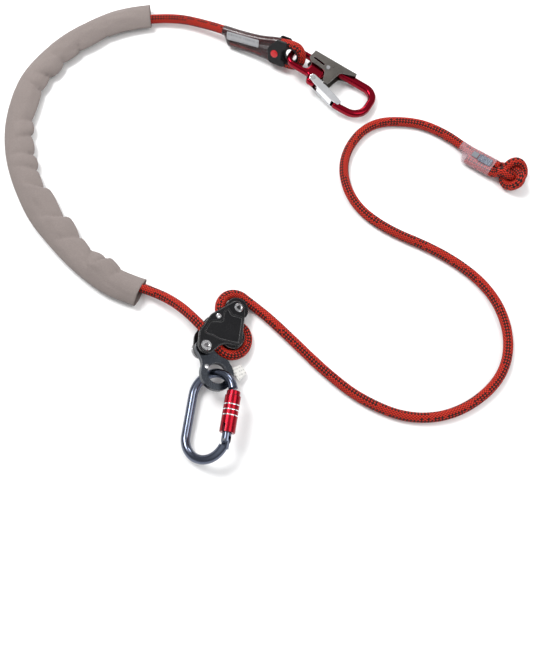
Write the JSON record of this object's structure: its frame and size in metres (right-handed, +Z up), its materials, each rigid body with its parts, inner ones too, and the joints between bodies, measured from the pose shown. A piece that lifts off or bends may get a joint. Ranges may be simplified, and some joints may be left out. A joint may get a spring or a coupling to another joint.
{
  "type": "adjustable rope lanyard with ascender style rope adjuster",
  "caption": "Red work-positioning rope lanyard: plate rope adjuster with a swinging arm and an oval locking carabiner, a sprung double-action hook, a cloth rope sleeve and a knotted end.",
  "frame": {"origin": "on the floor under the middle of the hardware, the rope and what is on its free stretches left out", "axes": "+Y from the oval carabiner toward the hook along the spread-out lanyard, +Z up from the floor it lies on, +X to the right"},
  "size_m": [0.6272, 0.5949, 0.0403],
  "materials": {
    "plate_black": "black anodised, pressed",
    "steel": "turned and bright",
    "arm_grey": "dark grey anodised",
    "oval_grey": "polished, blue grey anodised",
    "lock_red": "red anodised",
    "ring_silver": "bright",
    "hook_red": "red anodised, polished",
    "gate_steel": "bright plated",
    "lever_grey": "matt grey",
    "thimble_black": "moulded",
    "plug_red": "moulded",
    "rope_red": "braided sheath with dark tracers",
    "shrink_dark": "heat-shrink tube",
    "label_silver": "printed label",
    "sleeve_fabric": "grey woven cloth",
    "shrink_clear": "clear heat-shrink",
    "label_white": "paper label",
    "chip_dark": "moulded"
  },
  "bodies": {
    "lanyard": {"adjuster_back_plate": "plate_black", "adjuster_friction_block": "plate_black", "adjuster_front_plate": "plate_black", "adjuster_pivot_disc": "steel", "adjuster_pivot_rivet": "steel", "adjuster_pivot_spacer_back": "steel", "adjuster_pivot_spacer_front": "steel", "adjuster_stop_pin": "steel", "adjuster_top_bollard": "plate_black", "adjuster_top_rivet": "steel", "eye_tag": "label_white", "protective_sleeve": "sleeve_fabric", "rope": "rope_red", "rope_folded_end": "rope_red", "splice_label": "label_silver", "splice_shrink": "shrink_dark", "stopper_chip": "chip_dark", "stopper_knot": "rope_red", "stopper_label": "label_white", "stopper_shrink": "shrink_clear", "thimble_cheek_back": "thimble_black", "thimble_cheek_front": "thimble_black", "thimble_core": "thimble_black", "thimble_plug": "plug_red"},
    "arm": {"adjuster_arm": "arm_grey", "adjuster_arm_pin": "steel"},
    "oval": {"oval_body": "oval_grey", "oval_gate_pin": "steel"},
    "oval_gate": {"oval_gate": "oval_grey"},
    "oval_lock": {"oval_lock_sleeve": "lock_red", "oval_lock_ring_1": "ring_silver", "oval_lock_ring_2": "ring_silver", "oval_lock_ring_3": "ring_silver"},
    "hook": {"hook_body": "hook_red", "hook_gate_pin": "steel", "hook_lever_pin": "steel"},
    "hook_gate": {"hook_gate": "gate_steel", "hook_gate_insert": "gate_steel"},
    "hook_lever": {"hook_lever": "lever_grey"}
  },
  "joints": [
    {"name": "arm_swing", "type": "hinge", "parent": "lanyard", "child": "arm", "pos_m": [-0.08908, -0.1527, 0.02838], "axis": [0.4226, 0, 0.9063], "range_deg": [-12, 0]},
    {"name": "oval_swing", "type": "hinge", "parent": "arm", "child": "oval", "pos_m": [-0.07476, -0.18, 0.0217], "axis": [0.4226, 0, 0.9063], "range_deg": [-15, 0]},
    {"name": "oval_gate_open", "type": "hinge", "parent": "oval", "child": "oval_gate", "pos_m": [-0.06324, -0.2537, 0.02916], "axis": [-0.4523, 0.0451, 0.8907], "range_deg": [0, 22], "stiffness_Nm_per_rad": 0.1, "springref_deg": -17.19},
    {"name": "oval_lock_twist", "type": "hinge", "parent": "oval_gate", "child": "oval_lock", "pos_m": [-0.05955, -0.22848, 0.02976], "axis": [0.1446, 0.9892, 0.0233], "range_deg": [0, 80], "stiffness_Nm_per_rad": 0.02, "springref_deg": -28.65},
    {"name": "hook_swing", "type": "hinge", "parent": "lanyard", "child": "hook", "pos_m": [0.0092, 0.2299, 0.0221], "axis": [-0.4194, -0.8049, 0.4199], "range_deg": [0, 10]},
    {"name": "hook_gate_open", "type": "hinge", "parent": "hook", "child": "hook_gate", "pos_m": [0.03462, 0.19559, 0.0181], "axis": [0.1476, -0.006, 0.989], "range_deg": [0, 26], "stiffness_Nm_per_rad": 0.1, "springref_deg": -17.19},
    {"name": "hook_lever_press", "type": "hinge", "parent": "hook", "child": "hook_lever", "pos_m": [0.0531, 0.21076, 0.01543], "axis": [0.1476, -0.006, 0.989], "range_deg": [0, 5], "stiffness_Nm_per_rad": 0.3, "springref_deg": -11.46}
  ]
}
